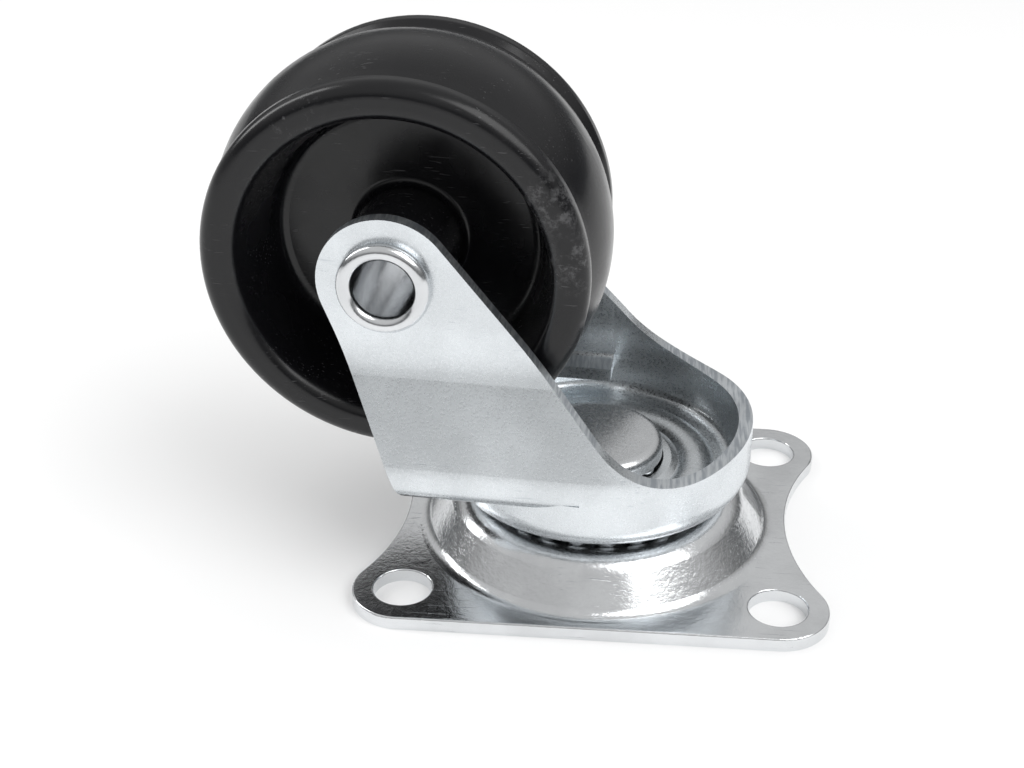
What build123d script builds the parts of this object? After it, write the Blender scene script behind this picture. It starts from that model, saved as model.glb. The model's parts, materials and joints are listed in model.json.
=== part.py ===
from build123d import *
from math import atan2, cos, degrees, radians, sin, tan
import os

# Swivel plate castor, modelled standing on its mounting plate with the wheel on top.
# Millimetres.  The origin is on the swivel axis, in the plane of the plate's mounting
# face.  +Z is the swivel axis and points from the plate towards the wheel, +X runs
# along the plate's long side, and the wheel trails towards -X.

# ---- driving dimensions -------------------------------------------------------------
SHEET = 1.8                     # thickness of both pressed sheets
SWIVEL = -4.0                   # degrees the fork stands turned from the plate's long side
EDGE_BREAK = 0.25               # rounding of the punched outer edges

# mounting plate
HOLE_X = 47.0                   # bolt hole spacing along the plate
HOLE_Y = 36.5                   # bolt hole spacing across the plate
HOLE_R = 3.7
LOBE_R = 6.4                    # corner radius, concentric with the bolt hole
WAIST_X = 25.2                  # half length of the plate between its lobes
RING_R = 24.0                   # the raised ring lies inside this radius
FOOT_R = 22.6                   # where the ring's flank meets the flat of the plate
SHOULDER_R = 18.2
SHOULDER_Z = 7.8                # top of the raised ring
PAN_Z = 7.0                     # upper side of the pan inside the raceway

# ball bearings: (radius of the row, height of the ball centres, number of balls)
BALL_R = 3.175 / 2
RACE_R = 1.75                   # radius of the grooves the balls run in
LOWER_ROW = (12.9, 8.5, 22)
UPPER_ROW = (6.9, 11.5, 12)

# kingpin
SHANK_R = 4.0
HEAD_R = 8.45
HEAD_TOP_Z = 14.7
HEAD_UNDER_Z = 12.3
COLLAR_R = 5.15                 # inner race of the upper row
COLLAR_Z = 10.6
TAIL_R = 6.2
TAIL_THICK = 1.9

# fork
CUP_R = 19.9                    # outer radius of the round cup
CUP_FLOOR_Z = 11.2              # upper side of the cup's floor, next to the wall
UPPER_FLOOR_Z = 10.0            # floor inside the upper race
UPPER_LIP = 0.2                 # lip round the upper race, above the ball centres
UPPER_LIP_WIDTH = 1.0
CUP_BEND = 1.6                  # inner radius of the bend between floor and wall
CUP_HOLE_R = 5.0
FLANGE_TOP_Z = 16.2             # upper side of the flanges that stiffen the legs' lower edge
FLANGE_Y = 14.4
SLOT_Z = 13.9                   # height the cup's wall is cut down to behind the wheel
SLOT_Y = 14.3
LEAN_START_Z = 18.0
LEAN_START_R = 7.0
LEAN_END_Z = 33.0
LEAN_END_R = 25.0
LEG_Y = 15.9                    # outer face of a leg at the axle
LEG_TOP_R = 8.3
CORNER_R = 2.5                  # lower rear corner of a leg
REAR_EDGE_ANGLE = 21.3          # from the vertical
FRONT_EDGE_ANGLE = 51.1         # from the horizontal
RIM_Z = 18.3                    # height of the cup's rim at the very front
RIM_RISE = 6.0                  # degrees the rim rises towards the front
VALLEY_R = 15.0                 # where the legs' front edge runs into the rim
TRAIL = 23.9                    # axle behind the swivel axis
AXLE_Z = 42.1

# axle tube
TUBE_R = 4.7
TUBE_BORE_R = 3.7
ROLL_R = 1.0                    # radius of the rolled-over ends
ROLL_Y = 0.8                    # centre of the roll outside the leg's face

# wheel
WHEEL_R = 25.0
WHEEL_CLEARANCE = 0.08          # running clearance on the axle tube
HUB_Y = 13.75
HUB_R = 6.4
WEB_Y = 1.7
RECESS_R = (6.9, 16.7)          # floor of the side recess
LIP_R = (19.3, 23.7)            # side lip, inside and outside
LIP_Y = 13.3
VALLEY = (22.8, 9.0)            # groove between the tread and the lip
CROWN_EDGE = (23.35, 7.6)

os.makedirs("parts", exist_ok=True)


def save(piece, name):
    piece.part.label = name
    export_step(piece.part, f"parts/{name}.step")


def crossing(point_a, angle_a, point_b, angle_b):
    """Point where two lines cross, each given by a point and its angle in degrees."""
    ax, ay = cos(radians(angle_a)), sin(radians(angle_a))
    bx, by = cos(radians(angle_b)), sin(radians(angle_b))
    dx, dy = point_b[0] - point_a[0], point_b[1] - point_a[1]
    along = (dx * by - dy * bx) / (ax * by - ay * bx)
    return (point_a[0] + along * ax, point_a[1] + along * ay)


# On axle_section X points up from the axle and Y runs along it.
fork_frame = Plane.XY.rotated((0, 0, SWIVEL))
axle_centre = fork_frame.from_local_coords((-TRAIL, 0, AXLE_Z))
axle_section = Plane(origin=axle_centre, x_dir=(0, 0, 1), z_dir=-fork_frame.x_dir)
axle_axis = Axis(axle_centre, fork_frame.y_dir)

# ---- mounting plate -----------------------------------------------------------------
hole_x, hole_y = HOLE_X / 2, HOLE_Y / 2
waist_gap = WAIST_X - hole_x
waist_arc_r = (hole_y**2 + waist_gap**2 - LOBE_R**2) / (2 * (LOBE_R - waist_gap))
waist_angle = degrees(atan2(hole_y, waist_gap + waist_arc_r))

with BuildPart() as mounting_plate:
    with BuildSketch():
        with BuildLine():
            Line((0, -hole_y - LOBE_R), (hole_x, -hole_y - LOBE_R))
            CenterArc((hole_x, -hole_y), LOBE_R, -90, 90 + waist_angle)
            CenterArc((WAIST_X + waist_arc_r, 0), waist_arc_r, 180 + waist_angle, -waist_angle)
            mirror(about=Plane.XZ)
            mirror(about=Plane.YZ)
        make_face()
        with GridLocations(HOLE_X, HOLE_Y, 2, 2):
            Circle(HOLE_R, mode=Mode.SUBTRACT)
    extrude(amount=SHEET)
    fillet(mounting_plate.faces().sort_by(Axis.Z)[-1].edges(), EDGE_BREAK)
    with BuildSketch():
        Circle(RING_R)
    extrude(amount=SHEET, mode=Mode.SUBTRACT)
    with BuildSketch(Plane.XZ):
        with BuildLine():
            raceway_top = FilletPolyline(
                (SHANK_R, PAN_Z),
                (13.2, PAN_Z),
                (14.6, SHOULDER_Z),
                (SHOULDER_R, SHOULDER_Z),
                (FOOT_R, SHEET),
                (RING_R, SHEET),
                radius=(1.5, 2.0, 4.0, 2.0),
            )
            offset(raceway_top, amount=SHEET, side=Side.RIGHT)
        make_face()
        with Locations(LOWER_ROW[:2]):
            Circle(RACE_R, mode=Mode.SUBTRACT)
    revolve(axis=Axis.Z)
save(mounting_plate, "mounting_plate")

# ---- kingpin ------------------------------------------------------------------------
tail_top_z = PAN_Z - SHEET

with BuildPart() as kingpin:
    with BuildSketch(Plane.XZ):
        with BuildLine():
            Polyline(
                (0, tail_top_z - TAIL_THICK),
                (TAIL_R, tail_top_z - TAIL_THICK),
                (TAIL_R, tail_top_z),
                (SHANK_R, tail_top_z),
                (SHANK_R, COLLAR_Z),
                (COLLAR_R, COLLAR_Z),
                (COLLAR_R, HEAD_UNDER_Z),
                (HEAD_R, HEAD_UNDER_Z),
                (HEAD_R, HEAD_TOP_Z),
                (0, HEAD_TOP_Z),
                close=True,
            )
        make_face()
        with Locations(UPPER_ROW[:2]):
            Circle(RACE_R, mode=Mode.SUBTRACT)
    revolve(axis=Axis.Z)
    fillet(kingpin.edges().group_by(Axis.Z)[-1], 1.2)
    fillet(kingpin.edges().group_by(Axis.Z)[0], 1.2)
save(kingpin, "kingpin")

# ---- fork ---------------------------------------------------------------------------
wall_in = CUP_R - SHEET
leg_in = LEG_Y - SHEET


def on_leg_top(angle):
    return (-TRAIL + LEG_TOP_R * cos(radians(angle)), AXLE_Z + LEG_TOP_R * sin(radians(angle)))


rear_normal = 180 + REAR_EDGE_ANGLE
front_normal = 90 - FRONT_EDGE_ANGLE
rear_line = (on_leg_top(rear_normal), rear_normal + 90)
front_line = (on_leg_top(front_normal), front_normal - 90)
flange_z = FLANGE_TOP_Z - SHEET
rim_line = ((CUP_R, RIM_Z), RIM_RISE)
cup_under_z = CUP_FLOOR_Z - SHEET
lip_r = UPPER_ROW[0] + RACE_R + UPPER_LIP_WIDTH
lip_z = UPPER_ROW[1] + UPPER_LIP
ridge_r = RACE_R + SHEET
across = Plane.XZ.offset(-CUP_R - 1)
across_all = 2 * CUP_R + 2


# The fork's three stretches are drawn in line with the plate and turned as they join.

# legs, with the small flange that stiffens their lower edge
with BuildPart() as legs:
    with BuildSketch(Plane.YZ):
        with BuildLine():
            leg_inner = FilletPolyline(
                (FLANGE_Y, FLANGE_TOP_Z),
                (wall_in, FLANGE_TOP_Z),
                (wall_in, LEAN_START_Z),
                (leg_in, LEAN_END_Z),
                (leg_in, AXLE_Z + 2 * LEG_TOP_R),
                radius=(0.8, LEAN_START_R, LEAN_END_R),
            )
            offset(leg_inner, amount=SHEET, side=Side.RIGHT)
        make_face()
        mirror(about=Plane.YZ)
    extrude(amount=-TRAIL - 2 * LEG_TOP_R)
    with BuildSketch(across):
        with BuildLine():
            FilletPolyline(
                crossing(*rear_line, (0, flange_z), 0),
                crossing(*rear_line, *front_line),
                crossing(*front_line, (0, flange_z), 0),
                radius=(CORNER_R, LEG_TOP_R, 0),
                close=True,
            )
        make_face()
        with Locations((-TRAIL, AXLE_Z)):
            Circle(TUBE_R, mode=Mode.SUBTRACT)
    extrude(amount=across_all, mode=Mode.INTERSECT)

# front half of the cup's wall, cut to the rim
with BuildPart() as front_wall:
    with BuildSketch(Plane.YZ):
        with BuildLine():
            wall_inner = FilletPolyline(
                (wall_in, flange_z),
                (wall_in, LEAN_START_Z),
                (leg_in, LEAN_END_Z),
                radius=LEAN_START_R,
            )
            offset(wall_inner, amount=SHEET, side=Side.RIGHT)
        make_face()
    revolve(axis=Axis.Z, revolution_arc=-180)
    with BuildSketch(across):
        with BuildLine():
            FilletPolyline(
                front_line[0],
                crossing(*front_line, *rim_line),
                crossing(*rim_line, (CUP_R + 1, 0), 90),
                (CUP_R + 1, front_line[0][1]),
                radius=(0, VALLEY_R, 0, 0),
                close=True,
            )
        make_face()
    extrude(amount=across_all, mode=Mode.SUBTRACT)

# floor of the cup with its pressed ball races, and the wall round it
with BuildPart() as cup:
    with BuildSketch(Plane.XZ):
        with Locations(LOWER_ROW[:2]):
            Circle(ridge_r)
        with Locations((LOWER_ROW[0], cup_under_z)):
            Rectangle(2 * ridge_r, 2 * ridge_r, align=(Align.CENTER, Align.MAX), mode=Mode.SUBTRACT)
        with BuildLine():
            FilletPolyline(
                (CUP_HOLE_R, UPPER_FLOOR_Z),
                (UPPER_ROW[0], UPPER_FLOOR_Z),
                (UPPER_ROW[0], lip_z),
                (lip_r, lip_z),
                (lip_r + 1.0, CUP_FLOOR_Z),
                (wall_in, CUP_FLOOR_Z),
                (wall_in, FLANGE_TOP_Z),
                (CUP_R, FLANGE_TOP_Z),
                (CUP_R, cup_under_z),
                (UPPER_ROW[0] + RACE_R + SHEET, cup_under_z),
                (UPPER_ROW[0] + RACE_R, UPPER_FLOOR_Z - SHEET),
                (CUP_HOLE_R, UPPER_FLOOR_Z - SHEET),
                radius=(0, 0, 0, 0.4, 0.6, CUP_BEND, 0, 0, CUP_BEND + SHEET, 0.8, 0.8, 0),
                close=True,
            )
        make_face()
        with Locations(LOWER_ROW[:2], UPPER_ROW[:2]):
            Circle(RACE_R, mode=Mode.SUBTRACT)
    revolve(axis=Axis.Z)
    # room for the wheel
    with BuildSketch(Plane.YZ.offset(-CUP_R / 3)):
        with Locations((0, SLOT_Z)):
            Rectangle(2 * SLOT_Y, AXLE_Z, align=(Align.CENTER, Align.MIN))
    extrude(amount=-CUP_R, mode=Mode.SUBTRACT)

with BuildPart() as fork:
    for stretch in (cup, front_wall, legs):
        add(stretch.part, rotation=(0, 0, SWIVEL))
save(fork, "fork")

# ---- axle tube ----------------------------------------------------------------------
with BuildPart() as axle_tube:
    with BuildSketch(axle_section):
        with Locations(((TUBE_BORE_R + TUBE_R) / 2, 0)):
            Rectangle(TUBE_R - TUBE_BORE_R, 2 * (LEG_Y + ROLL_Y))
        with Locations((TUBE_BORE_R + ROLL_R, LEG_Y + ROLL_Y), (TUBE_BORE_R + ROLL_R, -LEG_Y - ROLL_Y)):
            Circle(ROLL_R)
        with Locations((TUBE_R + ROLL_R, 0)):
            Rectangle(2 * ROLL_R, 2 * LEG_Y, mode=Mode.SUBTRACT)
    revolve(axis=axle_axis)
save(axle_tube, "axle_tube")

# ---- wheel --------------------------------------------------------------------------
wheel_bore = TUBE_R + WHEEL_CLEARANCE

with BuildPart() as wheel:
    with BuildSketch(axle_section):
        with BuildLine():
            crown = RadiusArc((WHEEL_R, 0), CROWN_EDGE, -17.5)
            FilletPolyline(
                CROWN_EDGE,
                VALLEY,
                (LIP_R[1], VALLEY[1] + 1.4),
                (LIP_R[1], LIP_Y),
                (LIP_R[0], LIP_Y),
                (RECESS_R[1], WEB_Y),
                (RECESS_R[0], WEB_Y),
                (HUB_R, HUB_Y),
                (wheel_bore, HUB_Y),
                (wheel_bore, 0),
                radius=(0.8, 0.8, 1.9, 1.9, 1.6, 1.0, 0.4, 0.2),
            )
            mirror(about=Plane.XZ)
        make_face()
    revolve(axis=axle_axis)
save(wheel, "wheel")

# ---- balls --------------------------------------------------------------------------
for row_name, (row_r, row_z, count) in (("lower", LOWER_ROW), ("upper", UPPER_ROW)):
    for number in range(count):
        turn = radians(360 * number / count)
        with BuildPart() as ball:
            with Locations((row_r * cos(turn), row_r * sin(turn), row_z)):
                Sphere(BALL_R)
        save(ball, f"{row_name}_ball_{number + 1:02d}")
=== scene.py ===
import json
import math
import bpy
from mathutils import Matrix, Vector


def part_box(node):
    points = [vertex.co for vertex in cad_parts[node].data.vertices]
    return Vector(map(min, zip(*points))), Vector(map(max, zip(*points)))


bl_info = {
    "name": "Swivel castor look",
    "version": (1, 0, 0),
    "blender": (4, 5, 0),
    "location": "3D View > Sidebar > Castor",
    "description": "Finishes and studio for a small zinc-plated swivel castor",
    "category": "Material",
}

import bpy
from mathutils import Matrix, Vector

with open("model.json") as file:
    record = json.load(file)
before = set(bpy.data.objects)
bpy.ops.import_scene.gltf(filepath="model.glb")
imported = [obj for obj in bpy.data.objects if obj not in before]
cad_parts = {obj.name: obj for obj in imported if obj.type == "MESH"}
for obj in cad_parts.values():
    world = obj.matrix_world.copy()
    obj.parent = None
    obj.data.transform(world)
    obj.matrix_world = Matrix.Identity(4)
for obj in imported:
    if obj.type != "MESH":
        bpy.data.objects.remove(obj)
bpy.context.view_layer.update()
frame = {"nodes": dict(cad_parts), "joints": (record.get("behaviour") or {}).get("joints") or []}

MM = 0.001

# The wheel's axis, taken from the joint it spins on.
SPIN = next(j for j in frame["joints"] if j["name"] == "wheel_spin")
AXLE = Vector(SPIN["pos_m"])
ACROSS = Vector(SPIN["axis"]).normalized()
FORWARD = ACROSS.cross(Vector((0, 0, 1)))
FORK_LOW = Vector(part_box("fork")[0])

# Heights above the fork's lowest point between which its cut edges begin, in mm.
CUT_EDGE_STARTS = (7.6, 8.2)

SCRATCH_FINENESS = 4200.0       # streaks per metre, across a scratch
SCRATCH_TURNS = ((0.3, 0.5, 0.2), (0.9, -0.7, 1.3))
CUT_GRAIN = (2600.0, 260.0, 2600.0)     # fine along the edge, long across the sheet
# Grey of the rubs on the wheel's lip; it is partly a painted highlight where the lip shows a grey sheen.
RUBBED_AND_SHEEN_GREY = (0.16, 0.16, 0.165)

# Rubs on the wheel's near lip, and last a nick. They are set where the lip shows its grey sheen, so their
# lighter grey is partly a painted highlight. Columns: angle above the forward direction in degrees, radius,
# side along the axle and size in mm, and break-up.
LIP_RUBS_AND_SHEEN = (
    (28, 22.6, -12.6, 5.5, 0.42),
    (8, 22.8, -12.4, 5.0, 0.46),
    (118, 22.4, -12.8, 4.5, 0.55),
    (-12, 23.2, -12.0, 0.9, 0.1),
)

FLOOR_REACH = 3.0
HORIZON = (0.16, 0.17, 0.18)
SKY_STEPS = ((0.6, 0.3), (0.7, 0.85), (0.8, 1.0))    # place on the ramp, grey level


# ---- node helpers --------------------------------------------------------------------
def add_node(tree, kind, inputs=None, **settings):
    """A new node; an input is given a value, or the socket to link to it."""
    node = tree.nodes.new(kind)
    for name, value in settings.items():
        setattr(node, name, value)
    for name, value in (inputs or {}).items():
        if isinstance(value, bpy.types.NodeSocket):
            tree.links.new(value, node.inputs[name])
        else:
            node.inputs[name].default_value = value
    return node


def calc(tree, operation, first, second=0.0, third=0.0, clamp=False):
    """The output of a Math node."""
    inputs = {0: first, 1: second, 2: third}
    return add_node(tree, "ShaderNodeMath", inputs, operation=operation, use_clamp=clamp).outputs[0]


def remap(tree, value, low, high, to_low=0.0, to_high=1.0):
    """value, eased from to_low to to_high as it goes from low to high."""
    inputs = {"Value": value, "From Min": low, "From Max": high, "To Min": to_low, "To Max": to_high}
    node = add_node(tree, "ShaderNodeMapRange", inputs, interpolation_type="SMOOTHSTEP")
    return node.outputs["Result"]


def noise(tree, vector, scale, detail=2.0, rough=0.5):
    inputs = {"Vector": vector, "Scale": scale, "Detail": detail, "Roughness": rough}
    return add_node(tree, "ShaderNodeTexNoise", inputs).outputs["Fac"]


def stretched(tree, vector, turn, scale):
    """vector turned by Euler angles and scaled on each axis, for streaks."""
    inputs = {"Vector": vector, "Rotation": turn, "Scale": scale}
    return add_node(tree, "ShaderNodeMapping", inputs).outputs["Vector"]


def new_group(name, inputs, outputs):
    """An empty shader group with float or vector sockets, its input and its output node."""
    tree = bpy.data.node_groups.new(name, "ShaderNodeTree")
    for label, default in inputs:
        kind = "NodeSocketFloat" if isinstance(default, float) else "NodeSocketVector"
        tree.interface.new_socket(label, in_out="INPUT", socket_type=kind).default_value = default
    for label in outputs:
        tree.interface.new_socket(label, in_out="OUTPUT", socket_type="NodeSocketFloat")
    return tree, tree.nodes.new("NodeGroupInput").outputs, tree.nodes.new("NodeGroupOutput").inputs


def place(tree, group, **values):
    """A group placed in a material with its own values."""
    node = add_node(tree, "ShaderNodeGroup", node_tree=group)
    for label, value in values.items():
        socket = node.inputs[label.replace("_", " ").title()]
        if isinstance(value, bpy.types.NodeSocket):
            tree.links.new(value, socket)
        else:
            socket.default_value = value
    return node.outputs


# ---- shared effects ------------------------------------------------------------------
def plating_group():
    """Zinc plating: broad cloudy tone, fine spangle and the dents left by pressing."""
    tree, given, result = new_group(
        "plating",
        [("Cloud Size", 9.0), ("Spangle Size", 0.45)],
        ["Tone", "Spangle", "Height"],
    )
    place_on = add_node(tree, "ShaderNodeTexCoord").outputs["Object"]
    per_metre = 1 / MM
    cloud_scale = calc(tree, "DIVIDE", per_metre, given["Cloud Size"])
    spangle_scale = calc(tree, "DIVIDE", per_metre, given["Spangle Size"])
    cloud = noise(tree, place_on, cloud_scale, detail=4.0)
    spangle = noise(tree, place_on, spangle_scale, detail=3.0, rough=0.65)
    dents = noise(tree, place_on, calc(tree, "MULTIPLY", cloud_scale, 4.0), detail=2.0)
    tree.links.new(remap(tree, cloud, 0.32, 0.68), result["Tone"])
    tree.links.new(remap(tree, spangle, 0.3, 0.7), result["Spangle"])
    tree.links.new(calc(tree, "ADD", calc(tree, "MULTIPLY", dents, 0.6), spangle), result["Height"])
    return tree


def scratches_group():
    """Fine straight scratches in two directions, thinned out in patches."""
    tree, given, result = new_group("scratches", [("Amount", 0.5), ("Length", 9.0)], ["Mask"])
    place_on = add_node(tree, "ShaderNodeTexCoord").outputs["Object"]
    long_way = calc(tree, "DIVIDE", 1 / MM, given["Length"])
    lines = None
    for turn in SCRATCH_TURNS:
        fine = {"X": long_way, "Y": SCRATCH_FINENESS, "Z": SCRATCH_FINENESS}
        scale = add_node(tree, "ShaderNodeCombineXYZ", fine)
        streak = noise(tree, stretched(tree, place_on, turn, scale.outputs[0]), 1.0, detail=1.0)
        line = remap(tree, streak, 0.7, 0.76)
        lines = line if lines is None else calc(tree, "MAXIMUM", lines, line)
    patches = remap(tree, noise(tree, place_on, 140.0), 0.42, 0.62)
    thinned = calc(tree, "MULTIPLY", lines, patches)
    tree.links.new(calc(tree, "MULTIPLY", thinned, given["Amount"]), result["Mask"])
    return tree


def sheared_edge_group():
    """The rough cut edge of the pressed fork: Mask is 1 on it, Grain runs across the sheet."""
    tree, given, result = new_group("sheared_edge", [("Across", tuple(ACROSS))], ["Mask", "Grain"])
    coord = add_node(tree, "ShaderNodeTexCoord")
    normal, place_on = coord.outputs["Normal"], coord.outputs["Object"]
    sideways = add_node(tree, "ShaderNodeVectorMath", {0: normal, 1: given["Across"]}, operation="DOT_PRODUCT")
    facing = calc(tree, "ABSOLUTE", sideways.outputs["Value"])
    parts = add_node(tree, "ShaderNodeSeparateXYZ", {"Vector": place_on}).outputs
    normal_z = add_node(tree, "ShaderNodeSeparateXYZ", {"Vector": normal}).outputs["Z"]
    starts, ends = CUT_EDGE_STARTS
    above_cup = remap(tree, parts["Z"], FORK_LOW.z + starts * MM, FORK_LOW.z + ends * MM)
    on_leg = calc(tree, "MULTIPLY", remap(tree, facing, 0.3, 0.15), remap(tree, parts["X"], 1 * MM, 0.0))
    on_rim = remap(tree, normal_z, 0.85, 0.93)
    edge = calc(tree, "MAXIMUM", on_leg, on_rim)
    tree.links.new(calc(tree, "MULTIPLY", edge, above_cup), result["Mask"])
    cut = stretched(tree, place_on, (0, 0, 0), CUT_GRAIN)
    tree.links.new(remap(tree, noise(tree, cut, 1.0, detail=3.0), 0.35, 0.65), result["Grain"])
    return tree


def spot_group():
    """A soft round patch about a point, broken up by noise: a scuff, a rub or a nick, which on the wheel's lip
    also carries a painted highlight.
    """
    inputs = [("Centre", (0.0, 0.0, 0.0)), ("Radius", 3.0), ("Break Up", 0.5)]
    tree, given, result = new_group("spot", inputs, ["Mask"])
    place_on = add_node(tree, "ShaderNodeTexCoord").outputs["Object"]
    away = add_node(tree, "ShaderNodeVectorMath", {0: place_on, 1: given["Centre"]}, operation="DISTANCE")
    share = calc(tree, "DIVIDE", calc(tree, "MULTIPLY", away.outputs["Value"], 1 / MM), given["Radius"])
    near = remap(tree, share, 1.0, 0.3)
    broken = remap(tree, noise(tree, place_on, 900.0, detail=5.0, rough=0.7), given["Break Up"], 0.75)
    tree.links.new(calc(tree, "MULTIPLY", near, broken), result["Mask"])
    return tree


def group(name):
    """The shared effect of that name, built when it is first asked for."""
    makers = {
        "plating": plating_group,
        "scratches": scratches_group,
        "sheared_edge": sheared_edge_group,
        "spot": spot_group,
    }
    return bpy.data.node_groups.get(name) or makers[name]()


# ---- materials -----------------------------------------------------------------------
def new_material(name):
    """A material with nodes, its tree and its Principled BSDF."""
    material = bpy.data.materials.new(name)
    material.use_nodes = True
    return material, material.node_tree, material.node_tree.nodes["Principled BSDF"]


def shade(tree, dark, light, amount):
    """A colour between dark and light."""
    node = add_node(tree, "ShaderNodeMix", {"Factor": amount}, data_type="RGBA")
    colours = [socket for socket in node.inputs if socket.type == "RGBA"]
    colours[0].default_value = (*dark, 1)
    colours[1].default_value = (*light, 1)
    return node.outputs[2]


def tinted(tree, colour, shade_by, amount):
    """colour, multiplied by the colour shade_by where amount is 1."""
    node = add_node(tree, "ShaderNodeMix", {"Factor": amount}, data_type="RGBA", blend_type="MULTIPLY")
    colours = [socket for socket in node.inputs if socket.type == "RGBA"]
    tree.links.new(colour, colours[0])
    colours[1].default_value = (*shade_by, 1)
    return node.outputs[2]


def bump(tree, bsdf, height, depth_mm, strength=1.0):
    inputs = {"Height": height, "Distance": depth_mm * MM, "Strength": strength}
    tree.links.new(add_node(tree, "ShaderNodeBump", inputs).outputs["Normal"], bsdf.inputs["Normal"])


def zinc(name, colour, gloss, spangle_mm, depth_mm, wear, edges=False):
    """Bright zinc plating; gloss is the (lowest, highest) roughness."""
    material, tree, bsdf = new_material(name)
    plating = place(tree, group("plating"), spangle_size=spangle_mm)
    scratch = place(tree, group("scratches"), amount=wear)["Mask"]
    darker = tuple(part * 0.86 for part in colour)
    surface = shade(tree, darker, colour, plating["Tone"])
    rough = calc(tree, "MULTIPLY_ADD", plating["Spangle"], gloss[1] - gloss[0], gloss[0])
    rough = calc(tree, "MULTIPLY_ADD", scratch, 0.18, rough)
    height = calc(tree, "MULTIPLY_ADD", scratch, -0.6, plating["Height"])
    surface = tinted(tree, surface, (0.8, 0.82, 0.84), scratch)
    if edges:
        cut = place(tree, group("sheared_edge"))
        grain = calc(tree, "MULTIPLY", cut["Mask"], cut["Grain"])
        surface = tinted(tree, surface, (0.62, 0.64, 0.67), grain)
        rough = calc(tree, "MULTIPLY_ADD", cut["Mask"], 0.14, rough)
        height = calc(tree, "MULTIPLY_ADD", grain, 0.8, height)
    tree.links.new(surface, bsdf.inputs["Base Color"])
    tree.links.new(rough, bsdf.inputs["Roughness"])
    bsdf.inputs["Metallic"].default_value = 1.0
    bump(tree, bsdf, height, depth_mm)
    return material


def wheel_point(angle, radius_mm, side_mm):
    """A point on the wheel: angle in degrees above the forward direction, side_mm along the axle."""
    turn = math.radians(angle)
    outward = FORWARD * math.cos(turn) + Vector((0, 0, math.sin(turn)))
    return AXLE + outward * radius_mm * MM + ACROSS * side_mm * MM


def black_plastic(name, colour, gloss, scuffs):
    """Glossy moulded plastic with rubs on the lip, lightened partly as painted highlight, and fine handling
    scratches.
    """
    material, tree, bsdf = new_material(name)
    place_on = add_node(tree, "ShaderNodeTexCoord").outputs["Object"]
    haze = remap(tree, noise(tree, place_on, 160.0, detail=3.0), 0.35, 0.7)
    scratch = place(tree, group("scratches"), amount=scuffs * 0.5, length=6.0)["Mask"]
    # rubs on the lip, set where its sheen falls, so partly a painted highlight
    rub_and_sheen = None
    for angle, radius_mm, side_mm, size_mm, break_up in LIP_RUBS_AND_SHEEN:
        centre = tuple(wheel_point(angle, radius_mm, side_mm))
        mask = place(tree, group("spot"), centre=centre, radius=size_mm, break_up=break_up)["Mask"]
        rub_and_sheen = mask if rub_and_sheen is None else calc(tree, "MAXIMUM", rub_and_sheen, mask)
    # scratches and the rubs, partly painted highlight, together lighten the base colour towards the grey of
    # the rubs
    wear_and_sheen = calc(tree, "MAXIMUM", calc(tree, "MULTIPLY", rub_and_sheen, scuffs), scratch, clamp=True)
    tree.links.new(shade(tree, colour, RUBBED_AND_SHEEN_GREY, wear_and_sheen), bsdf.inputs["Base Color"])
    rough = calc(tree, "MULTIPLY_ADD", haze, 0.1, gloss)
    tree.links.new(calc(tree, "MULTIPLY_ADD", wear_and_sheen, 0.3, rough), bsdf.inputs["Roughness"])
    bsdf.inputs["IOR"].default_value = 1.45
    bump(tree, bsdf, noise(tree, place_on, 260.0, detail=2.0), 0.05, strength=0.6)
    return material


def dress(node_names, material):
    """Gives CAD nodes a material in place of their plain one."""
    for name in node_names:
        data = frame["nodes"][name].data
        data.materials.clear()
        data.materials.append(material)


def row_nodes(row):
    return [name for name in frame["nodes"] if name.startswith(f"{row}_ball_")]


# ---- settings ------------------------------------------------------------------------
class CastorFinish(bpy.types.PropertyGroup):
    plate_colour: bpy.props.FloatVectorProperty(
        name="Plate zinc",
        description="Colour of the plate's zinc",
        subtype="COLOR", default=(0.80, 0.815, 0.83),
    )
    fork_colour: bpy.props.FloatVectorProperty(
        name="Fork zinc",
        description="Colour of the fork's zinc",
        subtype="COLOR", default=(0.78, 0.815, 0.84),
    )
    steel_colour: bpy.props.FloatVectorProperty(
        name="Steel",
        description="Colour of the rivet, kingpin and balls",
        subtype="COLOR", default=(0.76, 0.775, 0.79),
    )
    plastic_colour: bpy.props.FloatVectorProperty(
        name="Wheel",
        description="Colour of the moulded wheel",
        subtype="COLOR", default=(0.005, 0.005, 0.006),
    )
    # On the wheel this also sets how strongly the lip shows its painted highlight.
    wear: bpy.props.FloatProperty(
        name="Wear",
        description="Strength of scratches and scuffs",
        default=0.6, min=0.0, max=1.0, subtype="FACTOR",
    )


class CastorStudio(bpy.types.PropertyGroup):
    floor_colour: bpy.props.FloatVectorProperty(
        name="Floor", description="Colour of the floor", subtype="COLOR", default=(0.93, 0.93, 0.93)
    )
    sky_on_floor: bpy.props.FloatProperty(
        name="Sky light", description="Strength of the soft light on the floor", default=0.92
    )
    sky_in_metal: bpy.props.FloatProperty(
        name="Sky reflection", description="Strength of the same light in reflections", default=0.62
    )
    azimuth: bpy.props.FloatProperty(
        name="Azimuth",
        description="Camera's turn round the object",
        default=math.radians(5.27), subtype="ANGLE",
    )
    elevation: bpy.props.FloatProperty(
        name="Elevation", description="Camera's height angle", default=math.radians(29.82), subtype="ANGLE"
    )
    distance: bpy.props.FloatProperty(
        name="Distance", description="Camera to the point it looks at", default=0.2294, unit="LENGTH"
    )
    aim: bpy.props.FloatVectorProperty(
        name="Aim",
        description="Point the camera looks at",
        default=(-0.0121, 0.0085, 0.0166), subtype="TRANSLATION",
    )
    lens: bpy.props.FloatProperty(name="Lens", description="Focal length in millimetres", default=59.77)


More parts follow.
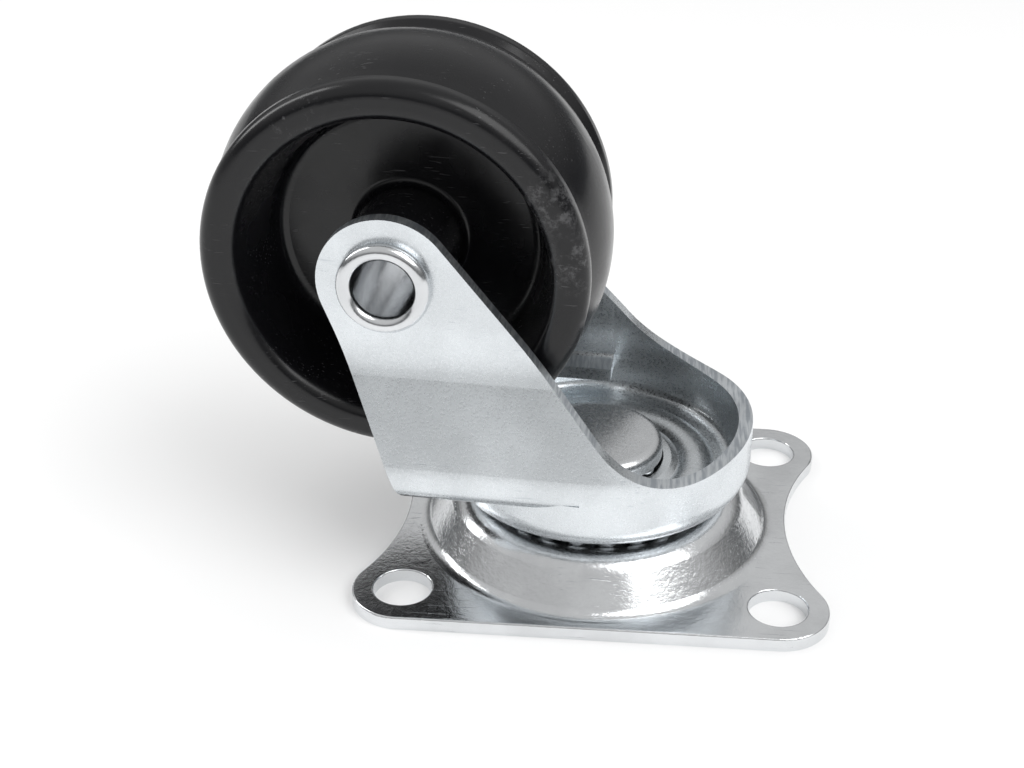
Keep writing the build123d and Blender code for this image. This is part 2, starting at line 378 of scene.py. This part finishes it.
# ---- operators -----------------------------------------------------------------------
class CASTOR_OT_finish_plate(bpy.types.Operator):
    """Zinc on the mounting plate and the kingpin"""

    bl_idname = "castor.finish_plate"
    bl_label = "Finish plate"

    def execute(self, context):
        look = context.scene.castor_finish
        plate = zinc("plate_zinc", tuple(look.plate_colour), (0.1, 0.22), 0.5, 0.03, look.wear)
        dress(["mounting_plate"], plate)
        kingpin = zinc("kingpin_zinc", tuple(look.steel_colour), (0.2, 0.32), 0.4, 0.012, look.wear)
        dress(["kingpin"], kingpin)
        return {"FINISHED"}


class CASTOR_OT_finish_fork(bpy.types.Operator):
    """Satin zinc with sheared edges on the fork, bright steel on the axle tube"""

    bl_idname = "castor.finish_fork"
    bl_label = "Finish fork"

    def execute(self, context):
        look = context.scene.castor_finish
        fork = zinc("fork_zinc", tuple(look.fork_colour), (0.24, 0.34), 0.35, 0.008, look.wear, edges=True)
        dress(["fork"], fork)
        tube = zinc("tube_steel", tuple(look.steel_colour), (0.14, 0.24), 0.3, 0.005, look.wear * 0.5)
        dress(["axle_tube"], tube)
        return {"FINISHED"}


class CASTOR_OT_finish_wheel(bpy.types.Operator):
    """Black moulded plastic on the wheel"""

    bl_idname = "castor.finish_wheel"
    bl_label = "Finish wheel"

    def execute(self, context):
        look = context.scene.castor_finish
        dress(["wheel"], black_plastic("black_plastic", tuple(look.plastic_colour), 0.2, look.wear))
        return {"FINISHED"}


class CASTOR_OT_finish_balls(bpy.types.Operator):
    """Polished steel on both rows of balls"""

    bl_idname = "castor.finish_balls"
    bl_label = "Finish balls"

    def execute(self, context):
        look = context.scene.castor_finish
        steel = zinc("ball_steel", tuple(look.steel_colour), (0.08, 0.16), 0.3, 0.002, 0.0)
        dress(row_nodes("lower") + row_nodes("upper"), steel)
        return {"FINISHED"}


def area_light(name, place_at, aim_at, size, power):
    """A square soft light; sizes in metres, power in watts."""
    light = bpy.data.lights.new(name, "AREA")
    light.shape = "RECTANGLE"
    light.size, light.size_y = size
    light.energy = power
    lamp = bpy.data.objects.new(name, light)
    lamp.location = place_at
    lamp.rotation_euler = (Vector(aim_at) - Vector(place_at)).to_track_quat("-Z", "Y").to_euler()
    bpy.context.scene.collection.objects.link(lamp)


class CASTOR_OT_build_stage(bpy.types.Operator):
    """White floor, soft studio light and the camera"""

    bl_idname = "castor.build_stage"
    bl_label = "Build stage"

    def execute(self, context):
        studio = context.scene.castor_studio
        floor_mesh = bpy.data.meshes.new("floor")
        reach = FLOOR_REACH
        corners = [(-reach, -reach, 0), (reach, -reach, 0), (reach, reach, 0), (-reach, reach, 0)]
        floor_mesh.from_pydata(corners, [], [(0, 1, 2, 3)])
        floor = bpy.data.objects.new("floor", floor_mesh)
        context.scene.collection.objects.link(floor)
        material, _, bsdf = new_material("floor_white")
        bsdf.inputs["Base Color"].default_value = (*studio.floor_colour, 1)
        bsdf.inputs["Roughness"].default_value = 0.6
        floor_mesh.materials.append(material)

        # a bright sky with a darker band at the horizon, which the bare metal reflects
        world = bpy.data.worlds.new("studio")
        context.scene.world = world
        world.use_nodes = True
        tree = world.node_tree
        direction = add_node(tree, "ShaderNodeTexCoord").outputs["Generated"]
        height = add_node(tree, "ShaderNodeSeparateXYZ", {"Vector": direction}).outputs["Z"]
        ramp = add_node(tree, "ShaderNodeValToRGB", {"Fac": calc(tree, "MULTIPLY_ADD", height, 0.5, 0.5)})
        ramp.color_ramp.elements[0].position = 0.5
        ramp.color_ramp.elements[0].color = (*HORIZON, 1)
        ramp.color_ramp.elements[1].position = 1.0
        ramp.color_ramp.elements[1].color = (1.0, 1.0, 1.0, 1)
        for position, level in SKY_STEPS:
            step = ramp.color_ramp.elements.new(position)
            step.color = (level, level, level, 1)
        sky = tree.nodes["Background"]
        tree.links.new(ramp.outputs["Color"], sky.inputs["Color"])
        mirrored = add_node(tree, "ShaderNodeLightPath").outputs["Is Glossy Ray"]
        dimmer = studio.sky_in_metal - studio.sky_on_floor
        strength = calc(tree, "MULTIPLY_ADD", mirrored, dimmer, studio.sky_on_floor)
        tree.links.new(strength, sky.inputs["Strength"])

        area_light("key", (0.35, -0.25, 0.55), (0, 0, 0.02), (0.5, 0.5), 2.0)
        area_light("rim", (-0.45, 0.1, 0.35), (0, 0, 0.04), (0.12, 0.4), 0.7)

        azimuth, elevation = studio.azimuth, studio.elevation
        back = Vector((
            math.sin(azimuth) * math.cos(elevation),
            -math.cos(azimuth) * math.cos(elevation),
            math.sin(elevation),
        ))
        right = Vector((math.cos(azimuth), math.sin(azimuth), 0))
        camera_data = bpy.data.cameras.new("camera")
        camera_data.lens = studio.lens
        camera_data.sensor_width = 36.0
        camera_data.clip_start = 0.01
        camera = bpy.data.objects.new("camera", camera_data)
        turned = Matrix((right, back.cross(right), back)).transposed().to_4x4()
        camera.matrix_world = Matrix.Translation(Vector(studio.aim) + back * studio.distance) @ turned
        context.scene.collection.objects.link(camera)
        context.scene.camera = camera
        context.scene.view_settings.view_transform = "Standard"
        return {"FINISHED"}


class CASTOR_PT_panel(bpy.types.Panel):
    bl_idname = "CASTOR_PT_panel"
    bl_label = "Castor"
    bl_space_type = "VIEW_3D"
    bl_region_type = "UI"
    bl_category = "Castor"

    def draw(self, context):
        for settings in (context.scene.castor_finish, context.scene.castor_studio):
            for name in settings.__annotations__:
                self.layout.prop(settings, name)
        for operator in OPERATORS:
            self.layout.operator(operator.bl_idname)


OPERATORS = (
    CASTOR_OT_finish_plate,
    CASTOR_OT_finish_fork,
    CASTOR_OT_finish_wheel,
    CASTOR_OT_finish_balls,
    CASTOR_OT_build_stage,
)
CLASSES = (CastorFinish, CastorStudio, *OPERATORS, CASTOR_PT_panel)


def register():
    for cls in CLASSES:
        bpy.utils.register_class(cls)
    bpy.types.Scene.castor_finish = bpy.props.PointerProperty(type=CastorFinish)
    bpy.types.Scene.castor_studio = bpy.props.PointerProperty(type=CastorStudio)


def unregister():
    del bpy.types.Scene.castor_studio
    del bpy.types.Scene.castor_finish
    for cls in reversed(CLASSES):
        bpy.utils.unregister_class(cls)


def main():
    register()
    bpy.ops.castor.finish_plate()
    bpy.ops.castor.finish_fork()
    bpy.ops.castor.finish_wheel()
    bpy.ops.castor.finish_balls()
    bpy.ops.castor.build_stage()


if __name__ == "__main__":
    main()
